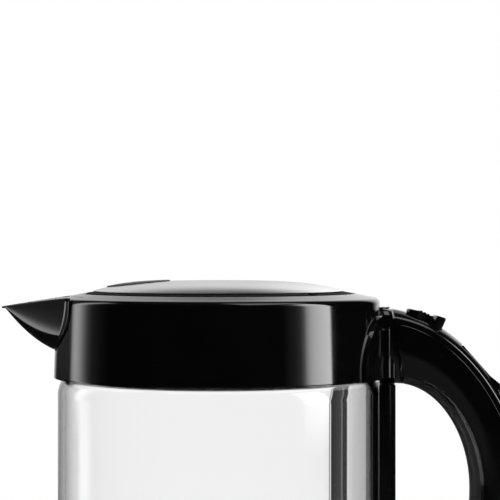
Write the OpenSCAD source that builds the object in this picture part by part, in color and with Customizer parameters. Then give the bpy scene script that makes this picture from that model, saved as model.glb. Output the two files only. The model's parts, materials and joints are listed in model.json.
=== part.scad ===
// Cordless glass kettle on a power base: glass jug, black collar with a beak
// spout, domed lid on a hinge set inside the rim, D-shaped handle.
// Millimetres, +Z up, origin on the table under the jug's axis.
// The spout points to -X and the handle to +X.

/* [Power base] */
// Radius of the power base at its foot
base_r = 80; // [77:0.5:90]
// Height of the power base's deck above the table
base_h = 20; // [18:0.5:26]
// Wall of the base's mouldings
base_wall = 2.2; // [1.8:0.1:2.8]
// Thickness of the base's bottom plate
plate_t = 2.5; // [2:0.1:3.5]
// Height of the rubber ring that stands on the table
foot_h = 2.5; // [2.2:0.1:3]
// Distance from the base's edge in to the middle of the rubber ring
foot_in = 15; // [12:0.5:18]
// Width of the rubber ring
foot_w = 8; // [6:0.5:10]
// Radius of the connector tower
tower_r = 16.5; // [16:0.1:18]
// Height of the connector tower above the deck
tower_h = 12; // [10:0.5:12.5]
// Radius of the hole that the supply cord comes out of
cord_r = 3.5; // [3:0.1:4]

/* [Jug] */
// Outer radius of the glass
glass_r = 68.7; // [68:0.1:69.5]
// Wall of the glass
glass_t = 3; // [2.5:0.1:3.5]
// Height of the glass's straight wall
glass_h = 141.3; // [110:0.1:170]
// Outer radius of the rounding between the glass's wall and its neck
shoulder_r = 11; // [10:0.5:12]
// How far the neck steps in from the glass's wall
neck_step = 6.2; // [5.8:0.1:6.4]
// Height of the lower housing
housing_h = 34; // [32:0.5:44]
// How far the lower housing stands out beyond the glass
housing_proud = 5.3; // [5:0.1:7]
// Wall of the lower housing
housing_wall = 2.6; // [2.2:0.1:3]
// Thickness of the stainless heater plate
heater_t = 1; // [0.8:0.1:1.5]
// Radius of the heating element's ring
element_r = 42; // [38:0.5:44]
// Radius of the heating element's tube
element_tube_r = 3.6; // [3:0.1:4]

/* [Collar] */
// Height of the collar
collar_h = 35.5; // [34.5:0.1:40]
// How far the collar's lower edge stands out beyond the glass
collar_proud = 1.6; // [1.4:0.1:3]
// How much narrower the collar is at its shoulder
collar_draft = 1.1; // [0.5:0.1:1.5]
// Wall of the collar
collar_wall = 2.4; // [2:0.1:2.6]
// Radius of the rounding between the collar's deck and its side
deck_round = 2.4; // [1.5:0.1:3]
// Width of the collar's deck around the recess that the lid lies in
deck_w = 10.7; // [10:0.1:11.2]
// Depth of the recess to the filter shelf
recess_depth = 20; // [19.5:0.1:21]
// Width of the recess floor around the mouth
mouth_ledge = 14.5; // [14:0.1:14.6]

/* [Spout] */
// Length of the beak beyond the collar's shoulder
beak_l = 23.8; // [20:0.1:30]
// Half width of the beak where it leaves the collar
beak_w = 33; // [30:0.5:34]
// Fall of the beak's upper edge for each millimetre outwards
beak_fall = 0.16; // [0.1:0.005:0.2]
// Wall of the beak
beak_wall = 2; // [1.6:0.1:2.4]

/* [Lid] */
// Gap between the lid's flange and the recess
lid_gap = 1.7; // [1.5:0.1:2]
// Width of the lid's border around its steel disc
lid_border = 3.2; // [2.9:0.1:4]
// Height of the lid's dome above the rim
dome_h = 5.4; // [4.5:0.1:7]
// How far the lid's hinge lies inside the recess
hinge_in = 17.6; // [17.2:0.1:18]
// Depth of the lid's hinge below the rim
hinge_drop = 2.4; // [2.2:0.1:2.8]
// Radius of the hinge pins
pin_r = 1.2; // [1:0.05:1.3]
// Gap between the lid's drum and the mouth
drum_gap = 3; // [2.6:0.1:4]
// Depth of the drum's bottom below the rim
drum_depth = 12.3; // [11:0.1:13]

/* [Handle] */
// Reach of the handle beyond the glass
handle_out = 63.7; // [60:0.1:70]
// Thickness of the grip at its farthest point
grip_t = 24.4; // [20:0.1:27]
// Half width of the grip
grip_w = 13; // [11.5:0.1:14]
// Depth of the outer cover strip
cover_t = 6; // [5:0.1:7]
// Depth of the inner liner strip
liner_t = 3; // [2.5:0.1:4]
// Half width of the upright spine beside the glass
spine_w = 11; // [10:0.1:12]
// Depth of the spine from the glass outwards
spine_t = 6.7; // [6.4:0.1:7.5]

/* [Controls] */
// Length of the lid release button
button_l = 16.4; // [14:0.1:18]
// Width of the lid release button
button_w = 13; // [11:0.1:15]
// How far the lid release button travels
button_travel = 2.5; // [1.5:0.1:2.8]
// Length of the switch paddle
paddle_l = 26; // [24:0.5:30]
// Width of the switch paddle
paddle_w = 13; // [11:0.1:15]

/* [Clearances] */
// Gap between pieces that move past each other
run_gap = 0.3; // [0.25:0.05:0.35]
// Gap between pieces that are fitted together
fit_gap = 0.1; // [0.05:0.01:0.15]
// Radial play of the lid on its pins
pin_gap = 0.05; // [0.02:0.01:0.1]

/* [Hidden] */
$fn = 96;
eps = 0.01;
big = 400;

// Radii and distances that follow from the sizes above
foot_r = base_r - foot_in;
neck_r = glass_r - neck_step;
housing_r = glass_r + housing_proud;
collar_r = glass_r + collar_proud;
shoulder_out_r = collar_r - collar_draft;
recess_r = shoulder_out_r - deck_w;
mouth_r = recess_r - mouth_ledge;
lid_r = recess_r - lid_gap;
disc_r = lid_r - lid_border;
hinge_x = recess_r - hinge_in;
hinge_half = sqrt(recess_r * recess_r - hinge_x * hinge_x);
drum_r = mouth_r - drum_gap;
beak_reach = shoulder_out_r + beak_l;
handle_reach = glass_r + handle_out;
spine_x = glass_r + spine_t;

// Heights that follow from the sizes above
jug_z = base_h + run_gap;
shelf_z = jug_z + housing_h - 10.3;
shelf_t = 2;
foot_seal_t = 2;
glass_z = shelf_z + shelf_t + foot_seal_t;
shoulder_z = glass_z + glass_h;
shoulder_show = 7.2;
rim = shoulder_z + shoulder_show + collar_h;
housing_top = jug_z + housing_h;

// Points of an arc, from angle a0 to angle a1
function arc(cx, cy, r, a0, a1, n) =
    [for (i = [0:n]) let (a = a0 + (a1 - a0) * i / n) [cx + r * cos(a), cy + r * sin(a)]];
// Outline of one side and its mirror image across the X axis
function both_sides(p) = concat(p, [for (i = [len(p) - 1:-1:0]) [p[i][0], -p[i][1]]]);
// Point of a cubic curve at t from 0 to 1
function cubic(p, t) = pow(1 - t, 3) * p[0] + 3 * t * pow(1 - t, 2) * p[1]
    + 3 * t * t * (1 - t) * p[2] + pow(t, 3) * p[3];

// Solid through a list of closed rings that all have as many points
module loft(rings) {
    n = len(rings[0]);
    m = len(rings);
    polyhedron(
        points = [for (r = rings) for (p = r) p],
        faces = concat(
            [[for (j = [n - 1:-1:0]) j]],
            [for (i = [0:m - 2]) for (j = [0:n - 1])
                [i * n + j, i * n + (j + 1) % n, (i + 1) * n + j]],
            [for (i = [0:m - 2]) for (j = [0:n - 1])
                [i * n + (j + 1) % n, (i + 1) * n + (j + 1) % n, (i + 1) * n + j]],
            [[for (j = [0:n - 1]) (m - 1) * n + j]]));
}

// Upright ring between two radii
module ring(r_in, r_out, z0, z1) {
    translate([0, 0, z0]) difference() {
        cylinder(r = r_out, h = z1 - z0);
        translate([0, 0, -1]) cylinder(r = r_in, h = z1 - z0 + 2);
    }
}

// Copies turned evenly about the jug's axis
module around(count, start) {
    for (i = [0:count - 1]) rotate([0, 0, start + i * 360 / count]) children();
}

// Countersunk screw pointing up from z = 0
module screw(shank_r, length) {
    cylinder(r = 2 * shank_r + 0.3, h = 1.5);
    translate([0, 0, 1.5]) cylinder(r = shank_r, h = length - 1.5);
}

// ---------------------------------------------------------------- power base
base_screw_r = foot_r - 15;
base_shank_r = 1.4;
post_r = 4;
connector_flange_r = tower_r + 7.5;
slot_in_r = 7;
slot_out_r = 10.5;
contact_t = 0.3;
earth_r = 2.6;
slot_floor = base_h + 2;
tower_top = base_h + tower_h;
plate_z = 1.5;
plate_top = plate_z + plate_t;
gland_z = 9.5;
gland_wall = 1.5;
gland_in = base_r - 12;
gland_out = base_r + 1.5;

module base_foot_ring() color("dimgray")
    ring(foot_r - foot_w / 2, foot_r + foot_w / 2, 0, foot_h);

module base_plate() color("black") difference() {
    translate([0, 0, plate_z]) cylinder(r = base_r - base_wall - fit_gap, h = plate_t);
    ring(foot_r - foot_w / 2 - fit_gap / 2, foot_r + foot_w / 2 + fit_gap / 2, 0, foot_h);
    around(3, 60) translate([base_screw_r, 0, plate_z - eps]) {
        cylinder(r = 2 * base_shank_r + 0.4, h = 1.5 + eps);
        cylinder(r = base_shank_r + fit_gap, h = plate_t + 1);
    }
}

// Deck, rounded shoulder and skirt of the base's cover
module base_shell(inset) {
    shoulder = 8 - inset;
    rotate_extrude() polygon(concat(
        [[0, 0], [base_r - inset, 0], [base_r - 0.5 - inset, base_h - 8]],
        arc(base_r - 0.5 - inset - shoulder, base_h - 8, shoulder, 0, 90, 10),
        [[0, base_h - inset]]));
}

module base_cover() color("black") difference() {
    union() {
        difference() {
            base_shell(0);
            base_shell(base_wall);
            translate([0, 0, -1]) cylinder(r = big, h = plate_z + 1);
        }
        around(3, 60) translate([base_screw_r, 0, plate_top])
            cylinder(r = post_r, h = base_h - base_wall - plate_top + eps);
        ring(connector_flange_r + fit_gap, connector_flange_r + 2, base_h - 6, base_h - 1);
    }
    translate([0, 0, -1]) cylinder(r = base_r - base_wall, h = plate_top + 1);
    cylinder(r = tower_r + fit_gap, h = big);
    around(3, 60) translate([base_screw_r, 0, plate_top - 1])
        cylinder(r = base_shank_r + fit_gap / 2, h = 11);
    translate([0, 0, gland_z]) rotate([0, 90, 0]) cylinder(r = cord_r + gland_wall, h = big);
}

module base_connector() color("dimgray") difference() {
    union() {
        translate([0, 0, base_h - base_wall - 3.5]) cylinder(r = connector_flange_r, h = 3.5);
        translate([0, 0, base_h - base_wall]) cylinder(r = tower_r, h = base_wall + tower_h);
    }
    ring(slot_in_r, slot_out_r, slot_floor, big);
    translate([0, 0, slot_floor]) cylinder(r = earth_r, h = big);
}

module base_contacts() color("gold") {
    ring(slot_in_r, slot_in_r + contact_t, slot_floor + 2, slot_floor + 5);
    ring(slot_out_r - contact_t, slot_out_r, slot_floor + 2, slot_floor + 5);
    ring(earth_r - contact_t, earth_r, slot_floor, slot_floor + 7);
}

module base_screws() color("silver")
    around(3, 60) translate([base_screw_r, 0, plate_z]) screw(base_shank_r, 11);

module cord_gland() color("black") translate([gland_in, 0, gland_z]) rotate([0, 90, 0])
    difference() {
        union() {
            cylinder(r = cord_r + gland_wall - fit_gap / 2, h = gland_out - gland_in);
            cylinder(r = cord_r + gland_wall + 0.4, h = 3);
        }
        translate([0, 0, -1]) cylinder(r = cord_r, h = gland_out - gland_in + 2);
    }

// ----------------------------------------------------------------- lower jug
cover_z = jug_z + 2.7;
bottom_t = 2.4;
socket_r = tower_r + 0.5;
jug_flange_r = socket_r + 5;
socket_roof = tower_top + 2.5;
connector_top = socket_roof + 1.5;
spreader_t = 3;
spreader_r = element_r + 10;
heater_z = shelf_z + shelf_t;
heater_r = glass_r - glass_t - 1.9;
heater_rim_h = 9;
shelf_in_r = 60;
housing_skirt_r = housing_r - 3;
housing_in_r = housing_r - housing_wall - 2.2;
bottom_screw_r = housing_in_r - 6.2;
foot_round = 3.2;
heater_under = heater_z - spreader_t;

// Outside of the lower housing, grown by g
module housing_outside(g) {
    translate([0, 0, jug_z]) rotate_extrude() polygon(concat(
        [[0, -g], [housing_skirt_r + g, -g]],
        arc(housing_r - foot_round, foot_round, foot_round + g, -75, 0, 6),
        [[housing_r - 1.2 + g, housing_h - 3]],
        arc(housing_r - 4.2, housing_h - 3, 3 + g, 0, 90, 5),
        [[0, housing_h + g]]));
}

module lower_housing() color("black") difference() {
    union() {
        difference() {
            housing_outside(0);
            translate([0, 0, jug_z - 1]) cylinder(r = housing_in_r, h = shelf_z - jug_z + 1);
            translate([0, 0, shelf_z + shelf_t]) cylinder(r = glass_r + fit_gap, h = big);
            cylinder(r = shelf_in_r, h = big);
        }
        around(3, 60) translate([bottom_screw_r, 0, cover_z + bottom_t])
            cylinder(r = post_r, h = shelf_z - cover_z - bottom_t + eps);
    }
    around(3, 60) translate([bottom_screw_r, 0, cover_z])
        cylinder(r = base_shank_r + fit_gap / 2, h = 12);
}

module bottom_cover() color("black") difference() {
    translate([0, 0, cover_z]) cylinder(r = housing_in_r - fit_gap, h = bottom_t);
    cylinder(r = jug_flange_r + fit_gap, h = big);
    around(3, 60) translate([bottom_screw_r, 0, cover_z - eps]) {
        cylinder(r = 2 * base_shank_r + 0.4, h = 1.5 + eps);
        cylinder(r = base_shank_r + fit_gap, h = bottom_t + 1);
    }
}

module bottom_screws() color("silver")
    around(3, 60) translate([bottom_screw_r, 0, cover_z]) screw(base_shank_r, 11);

module jug_connector() color("dimgray") {
    difference() {
        translate([0, 0, cover_z]) cylinder(r = jug_flange_r, h = connector_top - cover_z);
        translate([0, 0, cover_z - 1]) cylinder(r = socket_r, h = socket_roof - cover_z + 1);
    }
    ring(slot_in_r + contact_t + 0.4, slot_out_r - contact_t - 0.3, slot_floor + 2, socket_roof + eps);
    translate([0, 0, slot_floor + 4])
        cylinder(r = earth_r - contact_t - 0.4, h = socket_roof - slot_floor - 4 + eps);
}

module thermostat() color("saddlebrown") difference() {
    translate([0, 0, connector_top]) cylinder(r = 18, h = heater_under - connector_top);
    around(2, 90) translate([12, 0, connector_top - 1]) cylinder(r = 3, h = 4);
}

module heat_spreader() color("silver")
    translate([0, 0, heater_under]) cylinder(r = spreader_r, h = spreader_t);

module heating_element() color("slategray") {
    z = heater_under - element_tube_r - fit_gap / 2;
    translate([0, 0, z]) rotate([0, 0, -150]) rotate_extrude(angle = 300)
        translate([element_r, 0]) circle(r = element_tube_r);
    for (a = [146, -146])
        rotate([0, 0, a]) translate([element_r, 0, z - 11]) cylinder(r = element_tube_r - 1.4, h = 11);
}

module heater_plate() color("lightgray") {
    translate([0, 0, heater_z]) cylinder(r = heater_r, h = heater_t);
    ring(heater_r - heater_t, heater_r, heater_z, heater_z + heater_rim_h);
}

module glass_seal() color("gray") {
    ring(heater_r + fit_gap / 2, glass_r, heater_z, heater_z + foot_seal_t);
    ring(heater_r + fit_gap / 2, glass_r - glass_t - fit_gap / 2, heater_z, heater_z + heater_rim_h);
}

neck_drop = recess_depth + 3.5;

// Half section of the glass: straight wall, rounded shoulder and neck
module glass_outline(inset) {
    cx = glass_r - shoulder_r;
    r = shoulder_r - inset;
    stop = acos((neck_r - inset - cx) / r);
    polygon(concat(
        [[0, glass_z - inset * 10], [glass_r - inset, glass_z - inset * 10]],
        arc(cx, shoulder_z, r, 0, stop, 10),
        [[neck_r - inset, rim - neck_drop + inset], [0, rim - neck_drop + inset]]));
}

module glass_jug() color("lightcyan", 0.4) rotate_extrude() difference() {
    glass_outline(0);
    glass_outline(glass_t);
}

// -------------------------------------------------------------------- collar
shelf_lip_r = 56;
collar_shelf_t = 2;
floor_z = -6.2;
floor_t = 1.9;
floor_end_x = hinge_x - 15.9;
wall_out_r = recess_r + 2;
deck_drop = 1.7;
boss_x = 4;
window_w = 24;
window_top = floor_z - floor_t - 0.9;

module collar_ring() rotate_extrude() polygon(concat(
    [[recess_r, 0], [shoulder_out_r - deck_round, -deck_drop]],
    arc(shoulder_out_r - deck_round, -deck_drop - deck_round, deck_round, 75, 0, 5),
    [[collar_r, -collar_h], [collar_r - collar_wall, -collar_h],
     [shoulder_out_r - collar_wall, -deck_drop - collar_wall - 1],
     [wall_out_r, -collar_wall - 0.6], [wall_out_r, -recess_depth],
     [neck_r + 2.5, -recess_depth], [neck_r + 2.5, -collar_h + 4],
     [neck_r + 0.5, -collar_h + 4], [neck_r + 0.5, -recess_depth - collar_shelf_t],
     [shelf_lip_r, -recess_depth - collar_shelf_t], [shelf_lip_r, -recess_depth],
     [recess_r, -recess_depth]]));

// Upper edge, half width and lower edge of the beak at a distance x from the axis
lip_t = 0.7;
beak_dip = 1.25;
bead_w = 1.9;
bead_t = 0.7;
lip_l = 1.6;
tip_w = 1.4;
beak_start = recess_r + 2.5;
function beak_top(x) = -norm([beak_dip, beak_fall * max(0, x - recess_r)]);
function beak_half(x) = beak_w - (beak_w - tip_w) * max(0, x - beak_start) / (beak_reach - beak_start);
function beak_run(x) = max(0, min(31, beak_reach - lip_l - x));
function beak_low(x) = beak_top(beak_reach) - lip_t - 1.22 * beak_run(x) + 0.0188 * pow(beak_run(x), 2);

// Rounded section at x: half width w, from the upper edge down to the height low,
// with its sides carried straight up by lift
function beak_ring(x, w, top, low, lift) = [for (i = [0:26])
    let (a = 180 * (i - 1) / 24, c = cos(a))
    i == 0 ? [-x, -w, top + lift]
    : i == 26 ? [-x, w, top + lift]
    : [-x, -w * sign(c) * pow(abs(c), 2 / 3), top - (top - low) * pow(max(0, sin(a)), 2 / 3)]];

module beak_outside(more) loft([for (i = [0:20])
    let (x = i == 0 ? recess_r - 8.5 : beak_start + (beak_reach - beak_start) * sin(90 * (i - 1) / 19))
    beak_ring(x, beak_half(x) + more, beak_top(x) - 0.05, beak_low(x), 0.05)]);

// Flat bead where the beak meets the collar's side, tapering out towards its lower end
module beak_bead() intersection() {
    beak_outside(bead_w);
    rotate_extrude() polygon([[recess_r, -deck_drop - 0.6], [shoulder_out_r + bead_t, -deck_drop - 0.6],
        [collar_r + bead_t, -collar_h + 1], [recess_r, -collar_h + 1]]);
}

// Bowl of the beak, open upwards
module beak_inside() loft([for (i = [0:14])
    let (x = bridge_x + (beak_reach - 2.5 - bridge_x) * sin(90 * i / 14))
    beak_ring(x, max(0.5, beak_half(x) - beak_wall), beak_top(x),
        min(beak_top(x) - 0.3, max(beak_low(x) + beak_wall, 0.4 - recess_depth)), 6)]);

bridge_x = recess_r + 4.7;
bearing_in = hinge_half - 0.6;
bearing_out = hinge_half + 4.2;
lug_in = hinge_half - 12.6;
lug_out = hinge_half - 3.5;
pin_in = lug_in + 0.3;
pin_out = hinge_half + 3.2;

module collar() color("black") translate([0, 0, rim]) difference() {
    union() {
        collar_ring();
        // Floor of the recess in front of the hinge, with the mouth in it
        intersection() {
            ring(mouth_r, recess_r + 0.5, floor_z - floor_t, floor_z);
            translate([floor_end_x - big, -big / 2, -big / 2]) cube(big);
        }
        // Beak, cut back to the recess wall and clear of the glass's neck
        difference() {
            union() {
                beak_outside(0);
                beak_bead();
            }
            // Room above the deck, so that the beak grows out of its slope
            rotate_extrude() polygon([[0, 0], [recess_r, 0], [shoulder_out_r - deck_round, -deck_drop],
                [shoulder_out_r - 0.2, -deck_drop - 0.35], [shoulder_out_r - 0.2, 9], [0, 9]]);
            translate([0, 0, -big / 2]) cylinder(r = recess_r + 1, h = big);
            translate([0, 0, -big]) cylinder(r = neck_r + 2.4, h = big - recess_depth - 1);
            translate([0, 0, -big - collar_h]) cylinder(r = collar_r, h = big);
        }
        // Bearing blocks of the lid's hinge pins
        for (s = [-1, 1]) difference() {
            translate([hinge_x - boss_x, s > 0 ? bearing_in : -bearing_out, -hinge_drop - boss_x])
                cube([2 * boss_x, bearing_out - bearing_in, boss_x + 1]);
            translate([0, 0, -10]) cylinder(r = recess_r + 0.3, h = 20);
        }
    }
    beak_inside();
    // Window from the recess into the beak
    translate([-bridge_x - 1.3, -window_w, 0.4 - recess_depth])
        cube([bridge_x + 12.5 - recess_r, 2 * window_w, window_top - 0.4 + recess_depth]);
    // Steam and linkage slot towards the handle
    translate([recess_r - 4, -slot_w, slot_low]) cube([20, 2 * slot_w, slot_high - slot_low]);
    translate([hinge_x, 0, -hinge_drop]) rotate([90, 0, 0])
        cylinder(r = pin_r + 0.01, h = 2 * pin_out + 0.4, center = true);
}
slot_w = 7;
slot_low = -17;
slot_high = -7;

module neck_seal() color("gray") translate([0, 0, rim])
    ring(neck_r - glass_t, neck_r + 0.5, -neck_drop, -recess_depth - collar_shelf_t);

module hinge_pins() color("silver") translate([hinge_x, 0, rim - hinge_drop]) for (s = [-1, 1])
    rotate([-90 * s, 0, 0]) translate([0, 0, pin_in]) cylinder(r = pin_r, h = pin_out - pin_in);

// -------------------------------------------------------------- spout filter
filter_out_r = recess_r - run_gap;
filter_t = 1.2;
filter_low = run_gap - recess_depth;
filter_high = floor_z - floor_t - run_gap;
filter_w = 23;
mesh_t = 0.4;

// Curved panel in front of the window
module filter_panel(r_in, r_out, w, low, high) intersection() {
    ring(r_in, r_out, low, high);
    translate([-big, -w, -big / 2]) cube([big, 2 * w, big]);
}

module filter_frame() color("dimgray") translate([0, 0, rim]) difference() {
    filter_panel(filter_out_r - filter_t, filter_out_r, filter_w, filter_low, filter_high);
    for (y = [-14.5, 0, 14.5])
        translate([-big / 2 - 40, y - 6, filter_low + 1.6])
            cube([big / 2, 12, filter_high - filter_low - 3.2]);
}

module filter_mesh() color("silver") translate([0, 0, rim]) difference() {
    filter_panel(filter_out_r - filter_t - mesh_t - fit_gap / 2, filter_out_r - filter_t - fit_gap / 2,
        filter_w - 1, filter_low + 0.6, filter_high - 0.6);
    for (y = [-19.2:1.6:19.2], z = [0:3])
        translate([-recess_r, y - 0.5, filter_low + 2 + z * 1.9]) cube([20, 1, 1.2]);
}

// -------------------------------------------------------------------- handle
tail_low = housing_top - rim - 12;
tail_high = tail_low + 34;
mid_z = -80;
root_top = -6.2;
root_low = -collar_h - 3.1;
rail_out = [
    [[collar_r - 0.3, root_top], [handle_reach - 27.8, root_top - 1.2],
     [handle_reach, mid_z + 31], [handle_reach, mid_z]],
    [[handle_reach, mid_z], [handle_reach, mid_z + (tail_low - mid_z) * 0.42],
     [handle_reach - 26.4, mid_z + (tail_low - mid_z) * 0.78], [spine_x + 0.6, tail_low]]];
rail_in = [
    [[spine_x + 0.6, root_low], [handle_reach - 38.4, root_low], [handle_reach - grip_t, mid_z + 20],
     [handle_reach - grip_t, mid_z - 4]],
    [[handle_reach - grip_t, mid_z - 4], [handle_reach - grip_t, mid_z + (tail_high - mid_z) * 0.5],
     [handle_reach - 38.4, mid_z + (tail_high - mid_z) * 0.84], [spine_x + 0.6, tail_high]]];
flat_power = 5;
round_power = 2.4;

// Points of the two rails at t from 0 at the collar to 2 at the housing
function on_rail(rail, t) = cubic(rail[t < 1 ? 0 : 1], t < 1 ? t : t - 1);
function grip_half(t) = spine_w + (grip_w - spine_w) * sin(90 * min(2, max(0, t)));

// Section between the rails, from the height low to the height high above the
// inner rail; heights of zero or less are measured back from the outer rail
function grip_ring(o, i, b, low, high) =
    let (a = norm(o - i) / 2, m = (o + i) / 2, n = (o - i) / (2 * a), k = 11,
         a0 = grip_angle((low >= 0 ? low - a : a + low) / a),
         a1 = grip_angle((high > 0 ? high - a : a + high) / a),
         side = [for (j = [0:k]) let (f = a0 + (a1 - a0) * j / k, p = grip_power(f))
             [a * sign(f) * pow(abs(sin(f)), 2 / p), b * pow(cos(f), 2 / p)]])
    concat([for (q = side) [m[0] + n[0] * q[0], -q[1], m[1] + n[1] * q[0]]],
        [for (j = [k:-1:0]) let (q = side[j]) [m[0] + n[0] * q[0], q[1], m[1] + n[1] * q[0]]]);
function grip_power(f) = f < 0 ? round_power : flat_power;
// Angle on the section's outline at the share u of its half thickness
function grip_angle(u) = max(-88, min(88, sign(u) * asin(pow(min(1, abs(u)), grip_power(u) / 2))));

// Section at t on the rails
function grip_at_t(t, low, high) =
    grip_ring(on_rail(rail_out, t), on_rail(rail_in, t), grip_half(t), low, high);
// Section at t moved to the plane at x
function grip_at_x(t, x) =
    grip_ring([x, on_rail(rail_out, t)[1]], [x, on_rail(rail_in, t)[1]], grip_half(t), 0, 0);
function steps(t0, t1, n) = [for (j = [0:n]) t0 + (t1 - t0) * j / n];

// Frame on the outer rail: X along the handle, Z out of it
module at_rail(t) {
    p = on_rail(rail_out, t);
    d = on_rail(rail_out, t + 0.01) - on_rail(rail_out, t - 0.01);
    translate([p[0], 0, rim + p[1]]) rotate([0, -atan2(d[1], d[0]), 0]) children();
}

strip_gap = 0.2;
cover_t0 = 0.035;
liner_t0 = 0.06;
strips_t1 = 1.93;
step_t = 0.004;
loft_n = 38;
button_t = 0.185;
root_x = recess_r + 3.5;
column_w = spine_w - 0.4;
column_round = 1.8;
fillet_r = 1.4;
tongue_w = 4.5;
tongue_end = collar_r + 3.2;
fairing_t = 1.6;
arch_w = 38;
arch_top = -9;
arch_r = 24;

// Space of the jug's body that the handle's mouldings are cut back from
module jug_space(g) {
    translate([0, 0, rim]) rotate_extrude() polygon([[0, 1], [shoulder_out_r + g, 1],
        [shoulder_out_r + g, -deck_drop], [collar_r + g, -collar_h], [collar_r + g, -collar_h - g],
        [0, -collar_h - g]]);
    cylinder(r = glass_r + run_gap, h = rim);
    housing_outside(g);
    translate([0, -big / 2, housing_top]) cube([spine_x + g, big, rim - housing_top - 60]);
}

// Arch on the collar's side that the handle's root spreads out to
module arch_prism(w, top, r) translate([40, 0, rim]) rotate([90, 0, 90]) linear_extrude(50) {
    for (s = [-1, 1]) translate([s * (w - r), top - r]) circle(r = r);
    translate([-(w - r), root_low]) square([2 * (w - r), top - root_low]);
    translate([-w, -collar_h]) square([2 * w, collar_h + top - r]);
}

module root_fairing() {
    intersection() {
        arch_prism(arch_w, arch_top, arch_r);
        translate([0, 0, rim - collar_h]) rotate_extrude() polygon([[60, 0], [collar_r + fairing_t, 0],
            [shoulder_out_r + fairing_t, collar_h - deck_drop], [60, collar_h - deck_drop]]);
    }
    intersection() {
        arch_prism(column_w + fillet_r + 1, arch_top - 2, 9);
        translate([0, 0, rim + root_low]) linear_extrude(-root_low) polygon(both_sides(concat(
            [[60, column_w + fillet_r]],
            arc(spine_x - column_round, column_w + fillet_r, fillet_r, 180, 270, 6),
            arc(spine_x - column_round, column_w - column_round, column_round, 90, 0, 5))));
    }
    // Tongue on the top of the root, in front of the cover strip
    translate([0, 0, rim + root_top - 2]) linear_extrude(2.35) {
        translate([60, -tongue_w]) square([tongue_end - tongue_w - 60, 2 * tongue_w]);
        translate([tongue_end - tongue_w, 0]) circle(r = tongue_w);
    }
}

// Hollows for the linkage, the button, the switch and its control
module control_hollows() {
    translate([0, 0, rim]) {
        translate([root_x, -slide_w - run_gap, -16.8]) cube([16, 2 * (slide_w + run_gap), 4.1]);
        translate([slide_bend - run_gap, -slide_w - run_gap, -23.8])
            cube([slide_end + slide_ratio * button_travel + 2 * run_gap - slide_bend,
                2 * (slide_w + run_gap), 11.1]);
    }
    at_rail(button_t) {
        translate([-2 - run_gap, -stem_w / 2 - run_gap, -14])
            cube([stem_t + 2 * run_gap, stem_w + 2 * run_gap, 30]);
        translate([-button_l / 2 - run_gap, -button_w / 2 - run_gap, -cover_t])
            cube([button_l + 2 * run_gap, button_w + 2 * run_gap, 30]);
    }
    at_paddle() {
        translate([-run_gap, -paddle_w / 2 - run_gap, -pocket_depth])
            cube([paddle_l + 2 * run_gap, paddle_w + 2 * run_gap, 30]);
        translate([paddle_pivot[0], 0, paddle_pivot[1]]) rotate([90, 0, 0])
            cylinder(r = switch_pin_r + pin_gap, h = switch_pin_l + 2 * run_gap, center = true);
    }
}

module grip_body() translate([0, 0, rim]) loft(concat(
    [grip_at_x(0, root_x)],
    [for (t = steps(0, cover_t0, 1)) grip_at_t(t, 0, 0)],
    [for (t = steps(cover_t0 + step_t, liner_t0, 1)) grip_at_t(t, 0, -cover_t)],
    [for (t = steps(liner_t0 + step_t, strips_t1, loft_n)) grip_at_t(t, liner_t, -cover_t)],
    [for (t = steps(strips_t1 + step_t, 2, 1)) grip_at_t(t, 0, 0)],
    [grip_at_x(2, spine_x - 8)]));

module handle_shell() color("black") difference() {
    union() {
        grip_body();
        root_fairing();
    }
    jug_space(fit_gap);
    control_hollows();
}

module handle_cover() color("black") difference() {
    translate([0, 0, rim]) loft([for (t = steps(cover_t0 + 2 * step_t, strips_t1 - step_t, loft_n))
        grip_at_t(t, strip_gap - cover_t, 0)]);
    control_hollows();
}

module handle_liner() color("black") translate([0, 0, rim])
    loft([for (t = steps(liner_t0 + 2 * step_t, strips_t1 - step_t, loft_n))
        grip_at_t(t, 0, liner_t - strip_gap)]);

duct_x = [spine_x - 5.1, spine_x - 2.1];
duct_w = 5;

module handle_spine() color("black") difference() {
    translate([0, 0, housing_top + fit_gap]) linear_extrude(rim + root_low - housing_top - 2 * fit_gap)
        polygon([[60, -spine_w], [spine_x - 2.6, -spine_w], [spine_x, 2.6 - spine_w],
            [spine_x, spine_w - 2.6], [spine_x - 2.6, spine_w], [60, spine_w]]);
    cylinder(r = glass_r + run_gap, h = rim);
    translate([duct_x[0], -duct_w, 0]) cube([duct_x[1] - duct_x[0], 2 * duct_w, rim]);
}

module handle_wires() color("firebrick")
    for (y = [-3, 0, 3]) translate([(duct_x[0] + duct_x[1]) / 2, y, housing_top + 1])
        cylinder(r = 1, h = rim + root_low - housing_top - 2);

// ------------------------------------------------------------------ controls
paddle_start = 0.367;
paddle_mid = 0.453;
paddle_at = on_rail(rail_out, paddle_start) - [0, 0.58];
paddle_dir = on_rail(rail_out, paddle_mid + 0.01) - on_rail(rail_out, paddle_mid - 0.01);
paddle_angle = -atan2(paddle_dir[1], paddle_dir[0]);
paddle_t = 2.5;
paddle_rise = 1.3;
paddle_pivot = [3, -3];
switch_pin_r = 1.2;
switch_pin_l = paddle_w + 4;
pocket_depth = 9;
slide_w = 3;
stem_w = 5;
stem_t = 2.5;
slide_ratio = 0.8;
rib_x = [-3.2, -1.5, 0.2];
rib_z = 2;
rib_h = 0.45;
button_at = on_rail(rail_out, button_t);
button_dir = on_rail(rail_out, button_t + 0.01) - on_rail(rail_out, button_t - 0.01);
button_tilt = atan2(button_dir[1], button_dir[0]);
ramp_angle = atan2(cos(button_tilt), slide_ratio - sin(button_tilt));
ramp_at = button_at - [6.37, 7.31];
slide_bend = collar_r + 1.2;
slide_foot = button_at[0] - 9.4;
slide_end = button_at[0] - 0.4;

module at_paddle() translate([paddle_at[0], 0, rim + paddle_at[1]]) rotate([0, paddle_angle, 0]) children();

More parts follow.
